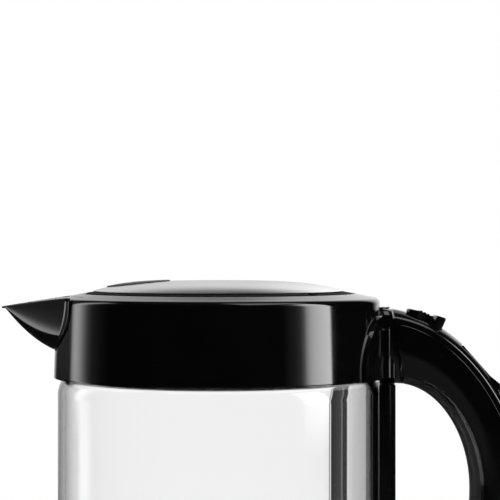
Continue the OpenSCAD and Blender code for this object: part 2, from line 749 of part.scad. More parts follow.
module steam_control() color("saddlebrown") at_paddle()
    translate([8, -paddle_w / 2 + 0.5, -pocket_depth]) cube([paddle_l - 12, paddle_w - 1, 3.4]);

// Everything under the sloping face where the stem meets the slide
module under_ramp(gap) translate([ramp_at[0], 0, rim + ramp_at[1]]) rotate([0, -ramp_angle, 0])
    translate([-big / 2, -big / 2, gap - big]) cube(big);

module release_slide() color("dimgray") {
    translate([0, slide_w, rim]) rotate([90, 0, 0]) linear_extrude(2 * slide_w)
        polygon([[recess_r - 0.2, -16.5], [recess_r - 0.2, -8], [recess_r + 1.7, -8], [recess_r + 2.5, -13],
            [slide_bend + 3, -13], [slide_bend + 3, -21], [slide_foot, -21], [slide_foot, -23.5],
            [slide_bend, -23.5], [slide_bend, -16.5]]);
    intersection() {
        translate([slide_foot, -slide_w, rim - 23.5]) cube([slide_end - slide_foot, 2 * slide_w, 8.2]);
        under_ramp(0);
    }
}

// Low wedge with hollowed sides, a square block at its rear end and ribs for the thumb
module button_cap() color("black") at_rail(button_t) intersection() {
    translate([0, button_w / 2, 0]) rotate([90, 0, 0]) linear_extrude(button_w)
        polygon(concat([[-button_l / 2, -0.6], [-button_l / 2, 0.3], [1 - button_l / 2, 1.15]],
            [for (x = rib_x) for (q = [[0, 0], [0.25, rib_h], [0.85, rib_h], [1.1, 0]])
                [x + q[0], rib_z + q[1]]],
            [[3.2, 2.5], [3.9, 3.3], [button_l / 2 - 1, 3.75], [button_l / 2 - 0.3, 3.5],
             [button_l / 2, 2.8], [button_l / 2, -0.6]]));
    translate([0, 0, -1]) linear_extrude(6) polygon(both_sides(concat(
        [[-button_l / 2, 2], [1.3 - button_l / 2, 4.2]],
        arc(-1.6, 9.3, 5.2, 250, 296, 6), arc(1.7, button_w / 2 - 1.5, 1.9, 300, 360, 3),
        [[3.9, button_w / 2], [button_l / 2 - 1, button_w / 2], [button_l / 2, button_w / 2 - 1]])));
}

module button_stem() color("dimgray") difference() {
    at_rail(button_t) translate([-2, -stem_w / 2, -13]) cube([stem_t, stem_w, 12.4]);
    under_ramp(run_gap);
}

module switch_paddle() color("black") at_paddle() {
    translate([0, paddle_w / 2, 0]) rotate([90, 0, 0]) linear_extrude(paddle_w)
        polygon([[0, -paddle_t], [0, -0.3], [0.3, 0], [paddle_l - 8.6, 0], [paddle_l - 0.7, paddle_rise],
            [paddle_l, paddle_rise - 0.5], [paddle_l - 0.3, -1.2], [paddle_l - 8.6, -paddle_t]]);
    translate([paddle_pivot[0], 0, paddle_pivot[1]]) rotate([90, 0, 0])
        cylinder(r = switch_pin_r, h = switch_pin_l, center = true);
    translate([paddle_pivot[0] - 1.5, -paddle_w / 2, paddle_pivot[1] - 1]) cube([3, paddle_w, 2]);
}

// ----------------------------------------------------------------------- lid
dome_edge = 1.2;
disc_t = 0.6;
disc_low = -0.2;
grip_proud = 0.45;
frame_wall_out = disc_r - 3.6;
frame_wall_in = frame_wall_out - 3;
frame_low = -6;
drum_wall = 2.4;
drum_back_x = hinge_x - 8.9;
grip_at = 19.2 - disc_r;
grip_a = 13.5;
grip_b = 17.5;
plate_r = drum_r - 3;
plate_back_x = hinge_x - 34.1;

// Height of the dome's surface at a radius
function dome(r) = dome_edge + (dome_h - dome_edge) * (1 - pow(r / disc_r, 4));

// Half section of the dome from its middle out to a radius, raised by g
function dome_line(r_out, g) = [for (i = [0:14]) let (r = r_out * sin(90 * i / 14)) [r, dome(r) + g]];

lug_x = 3.9;
lug_low = hinge_drop + 3.2;

module lid_lugs(g) for (s = [-1, 1]) intersection() {
    translate([hinge_x - lug_x - g, s > 0 ? lug_in - g : -lug_out - g, -lug_low - g])
        cube([2 * (lug_x + g), lug_out - lug_in + 2 * g, lug_low - 1.2 + g]);
    translate([0, 0, -10]) cylinder(r = lid_r - 0.4 + g, h = 20);
}

module pin_bore(g) translate([hinge_x, 0, -hinge_drop]) rotate([90, 0, 0])
    for (s = [-1, 1]) translate([0, 0, s > 0 ? pin_in - 1 : -pin_in - 20]) cylinder(r = pin_r + g, h = 21);

module lid_frame() color("black") translate([0, 0, rim]) difference() {
    union() {
        rotate_extrude() polygon([[frame_wall_in, -0.3], [disc_r + fit_gap, -0.3], [disc_r + fit_gap, 0.8],
            [lid_r - 0.6, 0.4], [lid_r, -0.1], [lid_r - 0.2, -1.2], [frame_wall_out + 1, -1.8],
            [frame_wall_out, -2.3], [frame_wall_out, frame_low], [frame_wall_in, frame_low]]);
        lid_lugs(0);
    }
    pin_bore(pin_gap);
    // The flange stops short beside the hinge, so that it clears the recess when the lid stands up
    for (s = [-1, 1]) translate([hinge_x - 3.5, s > 0 ? lug_out + 0.1 : -big - lug_out - 0.1, -10])
        cube([10, big, 20]);
}

module lid_disc() color("silver") translate([0, 0, rim]) rotate_extrude() polygon(concat(
    dome_line(disc_r, 0), [[disc_r, disc_low], [disc_r - disc_t, disc_low]],
    [for (i = [14:-1:0]) dome_line(disc_r - disc_t, -disc_t)[i]]));

module lid_grip() color("dimgray") translate([0, 0, rim]) intersection() {
    rotate_extrude() polygon(concat(dome_line(disc_r - 1, grip_proud),
        [for (i = [14:-1:0]) dome_line(disc_r - 1, fit_gap / 2)[i]]));
    translate([grip_at, 0, 0]) linear_extrude(20)
        polygon([for (i = [0:47]) [grip_a * cos(i * 7.5), grip_b * sin(i * 7.5)]]);
}

module lid_seal() color("gray") translate([0, 0, rim]) difference() {
    rotate_extrude() polygon([[frame_wall_out + 0.05, -2.45], [lid_r - 2.5, -2.5], [lid_r - 0.9, -3.3],
        [lid_r - 0.5, -4.2], [lid_r - 1.1, -5.2], [lid_r - 3.3, floor_z + run_gap],
        [frame_wall_out + 0.05, floor_z + run_gap]]);
    lid_lugs(0.2);
    pin_bore(run_gap);
}

module drum_form(g, top) intersection() {
    translate([0, 0, g - drum_depth]) rotate_extrude() polygon(concat([[0, 0]],
        arc(drum_r - g - 1.6, 1.6, 1.6, -90, 0, 5),
        [[drum_r - g, drum_depth + top - g], [0, drum_depth + top - g]]));
    translate([drum_back_x - g - big, -big / 2, -big / 2]) cube(big);
}

module lid_drum() color("dimgray") translate([0, 0, rim]) difference() {
    union() {
        drum_form(0, -4.6);
        ring(drum_r - drum_wall, frame_wall_in - fit_gap, frame_low, -4.6);
    }
    drum_form(drum_wall, 0);
}

module lid_underplate() color("lightgray") translate([0, 0, rim]) intersection() {
    union() {
        translate([0, 0, -drum_depth - 2.5]) cylinder(r = plate_r, h = 1.5);
        translate([0, 0, -drum_depth - 1]) cylinder(r = plate_r - 1.5, h = 1);
    }
    translate([plate_back_x - big, -big / 2, -big / 2]) cube(big);
}

module lid_hood() color("dimgray") translate([0, 0, rim - drum_depth]) rotate([90, 0, 0]) difference() {
    translate([0, 0, -hood_w]) linear_extrude(2 * hood_w)
        polygon([[plate_back_x + 0.4, 0], [drum_back_x - 16.3, -4], [drum_back_x - 8.8, -7.3],
            [drum_back_x - 2.1, -9.1], [drum_back_x - 0.4, -8.4], [drum_back_x - 0.4, 0]]);
    translate([0, 0, 2 - hood_w]) linear_extrude(2 * hood_w - 4)
        polygon([[drum_back_x - 19, 0.1], [drum_back_x - 15, -2.5], [drum_back_x - 8, -5.6],
            [drum_back_x - 2, -7], [drum_back_x + 8, -7], [drum_back_x + 8, 0.1]]);
}

latch_x = run_gap - mouth_r;
hood_w = 18;

module lid_latch() color("dimgray") translate([0, 0, rim]) intersection() {
    difference() {
        translate([0, 6, 0]) rotate([90, 0, 0]) linear_extrude(12)
            polygon([[latch_x + 3.7, -6.4], [latch_x + 2.1, -6.5], [latch_x + 0.1, -7.2], [latch_x, -8],
                [latch_x + 2.4, -10.8], [latch_x + 3.7, -10.8]]);
        translate([0, 0, -big / 2]) cylinder(r = drum_r + 0.05, h = big);
    }
    translate([0, 0, -big / 2]) cylinder(r = -latch_x, h = big);
}

base_foot_ring();
base_plate();
base_cover();
base_connector();
base_contacts();
base_screws();
cord_gland();
lower_housing();
bottom_cover();
bottom_screws();
jug_connector();
thermostat();
heat_spreader();
heating_element();
heater_plate();
glass_seal();
glass_jug();
neck_seal();
collar();
hinge_pins();
filter_frame();
filter_mesh();
handle_shell();
handle_cover();
handle_liner();
handle_spine();
handle_wires();
steam_control();
release_slide();
button_cap();
button_stem();
switch_paddle();
lid_frame();
lid_disc();
lid_grip();
lid_seal();
lid_drum();
lid_underplate();
lid_hood();
lid_latch();
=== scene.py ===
import json
import math

import bmesh
import bpy
from mathutils import Matrix, Vector


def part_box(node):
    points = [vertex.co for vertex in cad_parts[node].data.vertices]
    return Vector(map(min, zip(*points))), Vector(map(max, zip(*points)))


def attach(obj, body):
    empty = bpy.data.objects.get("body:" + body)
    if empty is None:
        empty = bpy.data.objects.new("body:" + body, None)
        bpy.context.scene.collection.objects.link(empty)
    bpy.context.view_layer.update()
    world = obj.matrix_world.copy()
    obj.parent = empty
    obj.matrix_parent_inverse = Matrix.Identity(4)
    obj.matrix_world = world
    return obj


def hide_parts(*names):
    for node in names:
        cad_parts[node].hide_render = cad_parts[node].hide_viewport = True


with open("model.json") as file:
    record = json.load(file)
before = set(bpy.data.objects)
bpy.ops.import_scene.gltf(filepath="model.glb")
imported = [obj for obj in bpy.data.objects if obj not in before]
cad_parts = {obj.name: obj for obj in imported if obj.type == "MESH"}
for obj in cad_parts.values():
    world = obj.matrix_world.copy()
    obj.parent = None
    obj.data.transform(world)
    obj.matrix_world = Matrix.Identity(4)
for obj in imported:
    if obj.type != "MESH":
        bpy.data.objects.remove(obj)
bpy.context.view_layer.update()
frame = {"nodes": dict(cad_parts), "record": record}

MM = 0.001
WHITE = (1, 1, 1, 1)
NODE_BODY = {node: body for body, nodes in frame["record"]["behaviour"]["bodies"].items() for node in nodes}
SLOT_OF = {row["node"]: row["material_slot"] for row in frame["record"]["subparts"]}
# Height of the collar's rim, in metres and in millimetres
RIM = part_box("collar")[1].z
RIM_MM = RIM / MM


def srgb(text, alpha=1.0):
    """Linear colour from an sRGB hex value."""
    parts = [int(text[i:i + 2], 16) / 255 for i in (1, 3, 5)]
    return [c / 12.92 if c <= 0.04045 else ((c + 0.055) / 1.055) ** 2.4 for c in parts] + [alpha]


def connect(tree, node, inputs):
    """Gives a node's sockets, by name or number, a value, an output or another node's first output."""
    for socket, value in inputs.items():
        if isinstance(value, bpy.types.Node):
            value = value.outputs[0]
        if isinstance(value, bpy.types.NodeSocket):
            tree.links.new(value, node.inputs[socket])
        else:
            node.inputs[socket].default_value = value


def add(tree, kind, inputs=None, stops=(), **settings):
    """Adds a node with its inputs, its settings and, on a colour ramp, its stops as (place, colour)."""
    node = tree.nodes.new(kind)
    for name, value in settings.items():
        setattr(node, name, value)
    connect(tree, node, inputs or {})
    if stops:
        elements = node.color_ramp.elements
        while len(elements) < len(stops):
            elements.new(0.5)
        for element, (place, colour) in zip(elements, stops):
            element.position = place
            element.color = colour
    return node


def link_object(name, data):
    """New object at the origin that holds the data."""
    item = bpy.data.objects.new(name, data)
    bpy.context.scene.collection.objects.link(item)
    return item


def mesh_object(name, bm, sharp=None, smooth=True):
    """Object made from a bmesh; edges that bend by more than sharp degrees stay crisp."""
    for face in bm.faces:
        face.smooth = smooth
    mesh = bpy.data.meshes.new(name)
    bm.to_mesh(mesh)
    bm.free()
    if sharp:
        mesh.set_sharp_from_angle(angle=math.radians(sharp))
    return link_object(name, mesh)


# ------------------------------------------------------------------ camera
# Level view along +Y from a little above the rim and a little to the handle's side
CAMERA_BACK, CAMERA_ASIDE, CAMERA_OVER_RIM, CAMERA_LENS = 0.731, 0.0135, 0.0186, 122.4
camera = link_object("camera", bpy.data.cameras.new("camera"))
camera.data.lens = CAMERA_LENS
camera.location = (CAMERA_ASIDE, -CAMERA_BACK, RIM + CAMERA_OVER_RIM)
camera.rotation_euler = (math.radians(90), 0, 0)
bpy.context.scene.camera = camera
bpy.context.scene.view_settings.view_transform = "Standard"


# ------------------------------------------------------------------- world
# The camera sees white and diffuse surfaces get an even light. Gloss sees a dark studio with a pale wall
# behind the kettle, an upright soft box on each side, a ceiling light and a low strip. Rays that pass
# through glass see a white card behind it, which ends on the handle's side.
# Each list gives (angle in degrees, strength). Bearings are 0 straight in front of the kettle, +90 on the
# handle's side and 180 behind; the wall's and the card's own count from straight behind instead, with the
# handle's side positive.
HANDLE_BOX = [(46, 0.0), (49, 0.07), (55, 0.2), (59, 0.45), (62, 1.5), (64.6, 4.8), (68, 7.4), (72, 8.7),
              (84.6, 11.0), (85.2, 0.0)]
SPOUT_BOX = [(-150, 0.05), (-123.6, 0.12), (-121.4, 1.6), (-118, 2.9), (-114, 3.1), (-110, 2.4), (-106, 1.3),
             (-102, 0.5), (-97, 0.15), (-88, 0.05), (-80, 0.0)]
BOX_HEIGHT = [(-6, 0.0), (-2, 1.0), (42, 1.0), (50, 0.0)]
WALL_WIDTH = [(-27, 0.0), (-18, 0.85), (-8, 0.9), (0, 1.0), (8, 1.7), (26, 1.7), (38, 0.0)]
WALL_HEIGHT = [(-12, 0.0), (-4, 0.66), (20, 0.72), (22.5, 0.68), (24.5, 0.4), (28, 0.0)]
UPPER_WALL_WIDTH = [(-27, 0.0), (-18, 0.85), (-8, 0.9), (0, 1.0), (8, 1.2), (14, 0.0)]
UPPER_WALL_HEIGHT = [(22.5, 0.0), (24.5, 0.1), (29, 0.2), (36, 0.04), (44, 0.0)]
# The wall light reaches higher on the handle's side, which brightens the edge of the collar's deck there
HIGH_WALL_WIDTH = [(9, 0.0), (15, 0.85), (28, 0.85), (36, 0.0)]
HIGH_WALL_HEIGHT = [(22, 0.0), (28, 1.0), (38, 0.9), (47, 0.0)]
# The ceiling light hangs over the handle's side only
CEILING_HEIGHT = [(30, 0.0), (54, 0.08), (58, 2.4), (90, 2.4)]
CEILING_WIDTH = [(-180, 0.02), (20, 0.02), (32, 1.0), (105, 1.0), (125, 0.02), (180, 0.02)]
# A low strip light on the spout's side, seen only in the beak's lower flank; its ends are cut on a slant
LOW_STRIP_WIDTH = [(-118, 0.0), (-112, 0.95), (-106, 1.0), (-103, 0.75), (-100, 0.3), (-98, 0.12),
                   (-94, 0.03), (-88, 0.0)]
LOW_STRIP_MIDDLE, LOW_STRIP_LEAN = -110.0, 1.33
LOW_STRIP_SLANT = [(-27, 0.0), (-25.2, 2.7)]
LOW_STRIP_HEIGHT = [(-6, 1.0), (-2, 0.0)]
# The floor as gloss sees it
GROUND_HEIGHT = [(-90, 0.14), (-14, 0.14), (-5, 0.0)]
GROUND_WIDTH = [(-180, 0.12), (-60, 0.12), (-40, 1.0), (180, 1.0)]
# The card behind the glass ends on the handle's side, where the studio and grey screens show, up to 20
# degrees, and then it goes on
CARD_END = [(4.4, 1.0), (4.96, 0.95), (4.98, 0.05), (5.04, 0.05), (5.06, 0.8), (5.13, 0.8), (5.15, 0.03),
            (6.3, 0.045), (6.36, 0.16), (6.48, 0.16), (6.56, 0.006), (7.16, 0.01), (7.26, 0.78), (8.6, 0.66),
            (13.9, 0.62), (14.2, 0.16), (18.4, 0.13), (18.8, 0.03), (20, 0.03)]
# What rays show that bounce inside the glass wall before they leave it
BOUNCED = [(-80, 0.06), (-55, 0.5), (-6, 0.5), (-3, 0.06), (40, 0.06)]
# Even light on diffuse surfaces
AMBIENT = 0.55


def studio_world():
    world = bpy.data.worlds.new("studio")
    bpy.context.scene.world = world
    world.use_nodes = True
    tree = world.node_tree
    tree.nodes.clear()

    def strength(angle, points):
        """Strength along an angle, straight between the points and level beyond them."""
        first, last, top = points[0][0], points[-1][0], max(p[1] for p in points)
        share = add(tree, "ShaderNodeMapRange", {0: angle, 1: first, 2: last})
        stops = [((at - first) / (last - first), [value / top] * 3 + [1]) for at, value in points]
        grey = add(tree, "ShaderNodeValToRGB", {0: share}, stops)
        return add(tree, "ShaderNodeMath", {0: grey, 1: top}, operation="MULTIPLY")

    def degrees(operation, inputs):
        """Angle that an inverse function gives, in degrees."""
        angle = add(tree, "ShaderNodeMath", inputs, operation=operation)
        return add(tree, "ShaderNodeMath", {0: angle}, operation="DEGREES")

    path = add(tree, "ShaderNodeLightPath").outputs
    coordinates = add(tree, "ShaderNodeTexCoord").outputs["Generated"]
    ray = add(tree, "ShaderNodeSeparateXYZ", {0: coordinates}).outputs
    forwards = add(tree, "ShaderNodeMath", {0: ray["Y"], 1: -1.0}, operation="MULTIPLY")
    bearing = degrees("ARCTAN2", {0: ray["X"], 1: forwards})
    behind = degrees("ARCTAN2", {0: ray["X"], 1: ray["Y"]})
    height = degrees("ARCSINE", {0: ray["Z"]})

    # Gloss: each light is a patch that follows one list round the kettle and another with height
    gloss = 0.0
    for angle, width, upwards in (
            (behind, WALL_WIDTH, WALL_HEIGHT), (behind, UPPER_WALL_WIDTH, UPPER_WALL_HEIGHT),
            (behind, HIGH_WALL_WIDTH, HIGH_WALL_HEIGHT), (bearing, HANDLE_BOX, BOX_HEIGHT),
            (bearing, SPOUT_BOX, BOX_HEIGHT), (bearing, CEILING_WIDTH, CEILING_HEIGHT),
            (bearing, GROUND_WIDTH, GROUND_HEIGHT)):
        patch = {0: strength(angle, width), 1: strength(height, upwards), 2: gloss}
        gloss = add(tree, "ShaderNodeMath", patch, operation="MULTIPLY_ADD")
    along = add(tree, "ShaderNodeMath", {0: bearing, 1: LOW_STRIP_MIDDLE}, operation="SUBTRACT")
    slant = add(tree, "ShaderNodeMath", {0: along, 1: LOW_STRIP_LEAN, 2: height}, operation="MULTIPLY_ADD")
    level, slanted = strength(bearing, LOW_STRIP_WIDTH), strength(slant, LOW_STRIP_SLANT)
    strip = add(tree, "ShaderNodeMath", {0: level, 1: slanted}, operation="MULTIPLY")
    gloss = add(tree, "ShaderNodeMath", {0: strip, 1: strength(height, LOW_STRIP_HEIGHT), 2: gloss},
                operation="MULTIPLY_ADD")

    # Through glass: the card for rays that went straight through, and its dimmer image for the others
    beyond = add(tree, "ShaderNodeMath", {0: behind, 1: CARD_END[-1][0]}, operation="GREATER_THAN")
    card = add(tree, "ShaderNodeMath", {0: strength(behind, CARD_END), 1: beyond}, operation="MAXIMUM")
    straight = add(tree, "ShaderNodeMath", {0: path["Glossy Depth"], 1: 0.5}, operation="LESS_THAN")
    # Sockets 2 and 3 are the two numbers that a Mix node runs between
    through = add(tree, "ShaderNodeMix", {0: straight, 2: strength(behind, BOUNCED), 3: card})

    shown = add(tree, "ShaderNodeBackground", {"Color": WHITE, "Strength": AMBIENT})
    for kind, light in (("Is Glossy Ray", gloss), ("Is Transmission Ray", through), ("Is Camera Ray", 1.0)):
        white = add(tree, "ShaderNodeBackground", {"Color": WHITE, "Strength": light})
        shown = add(tree, "ShaderNodeMixShader", {0: path[kind], 1: shown, 2: white})
    add(tree, "ShaderNodeOutputWorld", {0: shown})


studio_world()

# Middle of the kettle, at which the lamps point
LAMPS_AIM = Vector((0, 0, 0.14))


def soft_lamp(name, bearing, height, distance, size, power):
    """Area lamp that points at the middle of the kettle and shows on diffuse surfaces only."""
    lamp = link_object(name, bpy.data.lights.new(name, "AREA"))
    lamp.data.shape = "RECTANGLE"
    lamp.data.size, lamp.data.size_y = size
    lamp.data.energy = power
    b, h = math.radians(bearing), math.radians(height)
    away = distance * Vector((math.sin(b) * math.cos(h), -math.cos(b) * math.cos(h), math.sin(h)))
    lamp.location = LAMPS_AIM + away
    lamp.rotation_euler = (-away).to_track_quat("-Z", "Y").to_euler()
    lamp.visible_glossy = False
    lamp.visible_transmission = False
    lamp.visible_camera = False


soft_lamp("lamp_handle_side", 77, 12, 1.2, (0.5, 0.9), 9)
soft_lamp("lamp_spout_side", -125, 12, 1.2, (0.4, 0.9), 6)
soft_lamp("lamp_overhead", 0, 88, 1.3, (0.9, 0.9), 16)


# ------------------------------------------------------------------- floor
# Radii in metres, and the light that lifts the paper to nearly white without hiding the shadow
FLOOR_R, FADE_FROM, FADE_TO, FLOOR_LIFT = 0.75, 0.35, 0.72, 0.3


def white_floor():
    """Round paper floor that keeps the kettle's shadow and fades to pure white before its edge."""
    bm = bmesh.new()
    bmesh.ops.create_circle(bm, cap_ends=True, radius=FLOOR_R, segments=96)
    floor = mesh_object("floor", bm, smooth=False)
    material = bpy.data.materials.new("white_paper_floor")
    material.use_nodes = True
    tree = material.node_tree
    tree.nodes.clear()
    away = add(tree, "ShaderNodeVectorMath", {0: add(tree, "ShaderNodeTexCoord").outputs["Object"]},
               operation="LENGTH").outputs["Value"]
    edge = add(tree, "ShaderNodeMapRange", {0: away, 1: FADE_FROM, 2: FADE_TO, 3: 0.0, 4: 1.0},
               interpolation_type="SMOOTHSTEP")
    paper = add(tree, "ShaderNodeBsdfDiffuse", {"Color": srgb("#e6e6e6"), "Roughness": 0.5})
    lift = add(tree, "ShaderNodeEmission", {"Color": WHITE, "Strength": FLOOR_LIFT})
    glow = add(tree, "ShaderNodeEmission", {"Color": WHITE, "Strength": 1.0})
    lifted = add(tree, "ShaderNodeAddShader", {0: paper, 1: lift})
    faded = add(tree, "ShaderNodeMixShader", {0: edge, 1: lifted, 2: glow})
    # Plain paper for the light that it throws back on the kettle
    plain = add(tree, "ShaderNodeLightPath").outputs["Is Diffuse Ray"]
    shown = add(tree, "ShaderNodeMixShader", {0: plain, 1: faded, 2: paper})
    add(tree, "ShaderNodeOutputMaterial", {0: shown})
    floor.data.materials.append(material)
    floor.visible_glossy = False


white_floor()


# --------------------------------------------------------------- materials
def new_material(name):
    material = bpy.data.materials.new(name)
    material.use_nodes = True
    tree = material.node_tree
    return material, tree, tree.nodes["Principled BSDF"]


def grain(tree, cell_mm, detail=2.0):
    """Noise on the piece's own coordinates in cells of a real size, given once or for each axis."""
    sizes = cell_mm if isinstance(cell_mm, tuple) else [cell_mm] * 3
    cells = add(tree, "ShaderNodeMapping", {"Vector": add(tree, "ShaderNodeTexCoord").outputs["Object"],
                                            "Scale": [1 / (size * MM) for size in sizes]})
    return add(tree, "ShaderNodeTexNoise", {"Vector": cells, "Scale": 1.0, "Detail": detail})


def gloss_black_abs():
    # Piano-black moulded ABS: near black, sharp reflections, the faintest flow marks about 17 mm long
    material, tree, shader = new_material("gloss_black_abs")
    flow = grain(tree, 50 / 3)
    tone = add(tree, "ShaderNodeValToRGB", {0: flow}, [(0, srgb("#030303")), (1, srgb("#060607"))])
    shine = add(tree, "ShaderNodeMapRange", {0: flow, 3: 0.06, 4: 0.11})
    connect(tree, shader, {"Base Color": tone, "Roughness": shine, "IOR": 1.5})
    return material


def satin_black_nylon():
    # Glass-filled nylon from an eroded mould: dark, soft sheen, fine grain, drawn coarser than life to show
    material, tree, shader = new_material("satin_black_nylon")
    erosion = grain(tree, 0.625, detail=3.0)
    tone = add(tree, "ShaderNodeValToRGB", {0: erosion}, [(0, srgb("#1b1b1d")), (1, srgb("#262628"))])
    relief = add(tree, "ShaderNodeBump", {"Height": erosion, "Strength": 0.25, "Distance": 0.08 * MM})
    connect(tree, shader, {"Base Color": tone, "Roughness": 0.42, "Normal": relief})
    return material


def borosilicate_glass():
    # Clear blown borosilicate: colourless face on; where it is seen edge on its colour is painted darker
    # grey, a painted shade for the dark edges of the glass
    material, tree, shader = new_material("borosilicate_glass")
    facing = add(tree, "ShaderNodeLayerWeight", {"Blend": 0.5}).outputs["Facing"]
    # Painted shade: the colour goes to dark grey as the glass turns edge on
    painted_edge_shade = [(0.8, srgb("#eceeee")), (0.9, srgb("#b9bcbd")), (1.0, srgb("#6a6d6e"))]
    tone = add(tree, "ShaderNodeValToRGB", {0: facing}, [(0.7, WHITE)] + painted_edge_shade)
    connect(tree, shader, {"Base Color": tone, "Roughness": 0.0, "IOR": 1.47, "Transmission Weight": 1.0})
    return material


# Brush lines are long across the kettle and fine the other two ways; drawn coarser than life to show
BRUSH_MM = (25, 0.625, 2.5)


def brushed_metal(name, colour, roughness):
    # Brushed sheet or turned metal: fine lines that break up the shine and shift the tone a little
    material, tree, shader = new_material(name)
    lines = grain(tree, BRUSH_MM)
    base = srgb(colour)[:3]
    dark, light = [c * 0.97 for c in base] + [1], [min(1, c * 1.03) for c in base] + [1]
    tone = add(tree, "ShaderNodeValToRGB", {0: lines}, [(0, dark), (1, light)])
    shine = add(tree, "ShaderNodeMapRange", {0: lines, 3: roughness - 0.03, 4: roughness + 0.04})
    connect(tree, shader, {"Base Color": tone, "Roughness": shine, "Metallic": 1.0})
    return material


def moulded(name, dark, light, roughness, specular=0.5):
    # Moulded rubber or plastic: even colour under a fine eroded grain, drawn coarser than life to show
    material, tree, shader = new_material(name)
    erosion = grain(tree, 0.4)
    tone = add(tree, "ShaderNodeValToRGB", {0: erosion}, [(0, srgb(dark)), (1, srgb(light))])
    relief = add(tree, "ShaderNodeBump", {"Height": erosion, "Strength": 0.3, "Distance": 0.02 * MM})
    connect(tree, shader, {"Base Color": tone, "Roughness": roughness, "Specular IOR Level": specular,
                           "Normal": relief})
    return material


MATERIALS = {
    "black_plastic": gloss_black_abs(),
    "dark_plastic": satin_black_nylon(),
    # Dull black with no clear reflection
    "rubber": moulded("black_nitrile_rubber", "#161616", "#202020", 0.7),
    # Mid grey and softly dull, as cured silicone is
    "silicone": moulded("grey_silicone", "#5d5f60", "#6a6c6d", 0.5),
    "glass": borosilicate_glass(),
    # Pale drawn sheet with a soft, wide shine
    "steel": brushed_metal("brushed_stainless", "#f2f2f2", 0.22),
    # A little darker and sharper where it is turned or drawn to a pin
    "bright_steel": brushed_metal("turned_stainless", "#dedede", 0.15),
    # Greyish white casting with a dull, wide shine
    "aluminium": brushed_metal("cast_aluminium", "#c9cbcc", 0.45),
    # Steel tube that the heat has tanned
    "element_sheath": brushed_metal("heat_tinted_sheath", "#8d8780", 0.35),
    # Warm yellow contact metal
    "brass": brushed_metal("plain_brass", "#d9b866", 0.25),
    # Dark brown pressed resin
    "brown_plastic": moulded("brown_phenolic", "#3a1f12", "#472817", 0.45),
    # Matt black rim that barely shines even when seen along the surface; the rim is black, and its missing
    # shine is painted shade, so the groove round the lid's disc shows as a dark line
    "lid_rim": moulded("black_lid_rim_painted_groove_shade", "#0a0a0b", "#101011", 0.6, specular=0.06),
    # Dark grey with a waxy sheen
    "lid_plastic": moulded("dark_grey_polypropylene", "#3b3c3e", "#444547", 0.38),
    # Smoked inlay, matt like the rim round it
    "lid_lens": moulded("smoked_acrylic_inlay", "#47474a", "#4d4d50", 0.5, specular=0.06),
    # Deep red sleeve of the heater's wires
    "wire": moulded("red_silicone_sleeve", "#6e1510", "#7d1b14", 0.5),
}


# A node whose look differs from the others of its slot
# The lid frame's matt black also paints the shade of the groove round the disc
OWN_LOOK = {"lid_frame": "lid_rim"}


def finish(piece, node):
    """Gives a piece its body and the material that its node's slot, or the node's own look, asks for, and
    hides the node it stands for.
    """
    piece.data.materials.clear()
    piece.data.materials.append(MATERIALS[OWN_LOOK.get(node, SLOT_OF[node])])
    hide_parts(node)
    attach(piece, NODE_BODY[node])


def smooth_copy(node, bevel_mm=0.0, angle=28, flat=0.0, unwanted=None):
    """A merged copy of a CAD node that stands for it, with small rounded edges or evened normals.

    Faces within flat degrees of each other are joined, and unwanted ones are left out."""
    bm = bmesh.new()
    bm.from_mesh(frame["nodes"][node].data)
    bmesh.ops.remove_doubles(bm, verts=bm.verts, dist=1e-6)
    if unwanted:
        bmesh.ops.delete(bm, geom=[f for f in bm.faces if unwanted(f)], context="FACES")
    if flat:
        bmesh.ops.dissolve_limit(bm, angle_limit=math.radians(flat), verts=bm.verts, edges=bm.edges)
    piece = mesh_object(node + "_fine", bm, sharp=angle)
    if bevel_mm:
        rounding = piece.modifiers.new("rounding", "BEVEL")
        rounding.width = bevel_mm * MM
        rounding.segments = 2
        rounding.limit_method = "ANGLE"
        rounding.angle_limit = math.radians(angle)
        rounding.harden_normals = True
    else:
        even = piece.modifiers.new("even_normals", "WEIGHTED_NORMAL")
        even.keep_sharp = True
    finish(piece, node)


# The CAD nodes that stay as they are get their material only
for node, piece in frame["nodes"].items():
    piece.data.materials.clear()
    piece.data.materials.append(MATERIALS[SLOT_OF[node]])


# ----------------------------------------------------------- shaping tools
# From here on lengths are in millimetres. Points that these tools get count their height from the table.
def between(a, b, count):
    return [a + (b - a) * i / count for i in range(count + 1)]


def rounded(a, corner, b, count):
    """Points of a small curve from a to b that bends at the corner."""
    return [a * (1 - u) ** 2 + corner * (2 * u * (1 - u)) + b * u * u for u in between(0, 1, count)]


def arc_points(x, z, radius, first, last, count):
    """Points of an arc as (radius from the axis, height)."""
    return [(x + radius * math.cos(math.radians(a)), z + radius * math.sin(math.radians(a)))
            for a in between(first, last, count)]


def drawn_line(bm, points, closed):
    """Vertices and edges along the points, with a last edge back to the first if it is closed."""
    verts = [bm.verts.new(Vector(p) * MM) for p in points]
    edges = [bm.edges.new(pair) for pair in zip(verts, verts[1:])]
    if closed:
        edges.append(bm.edges.new((verts[-1], verts[0])))
    return verts, edges


def swept(name, rings):
    """Closed solid drawn along closed rings of points that all have as many points."""
    bm = bmesh.new()
    verts, edges = drawn_line(bm, rings[0], True)
    first = list(edges)
    for ring in rings[1:]:
        made = bmesh.ops.extrude_edge_only(bm, edges=edges)["geom"]
        follow = {}
        for v in [item for item in made if isinstance(item, bmesh.types.BMVert)]:
            for e in v.link_edges:
                other = e.other_vert(v)
                if other in verts:
                    follow[other] = v
        verts = [follow[v] for v in verts]
        for v, p in zip(verts, ring):
            v.co = Vector(p) * MM
        edges = [item for item in made if isinstance(item, bmesh.types.BMEdge)]
    bmesh.ops.edgeloop_fill(bm, edges=first)
    bmesh.ops.edgeloop_fill(bm, edges=edges)
    bmesh.ops.recalc_face_normals(bm, faces=bm.faces)
    return mesh_object(name, bm, sharp=40)


TURN_STEPS = 192


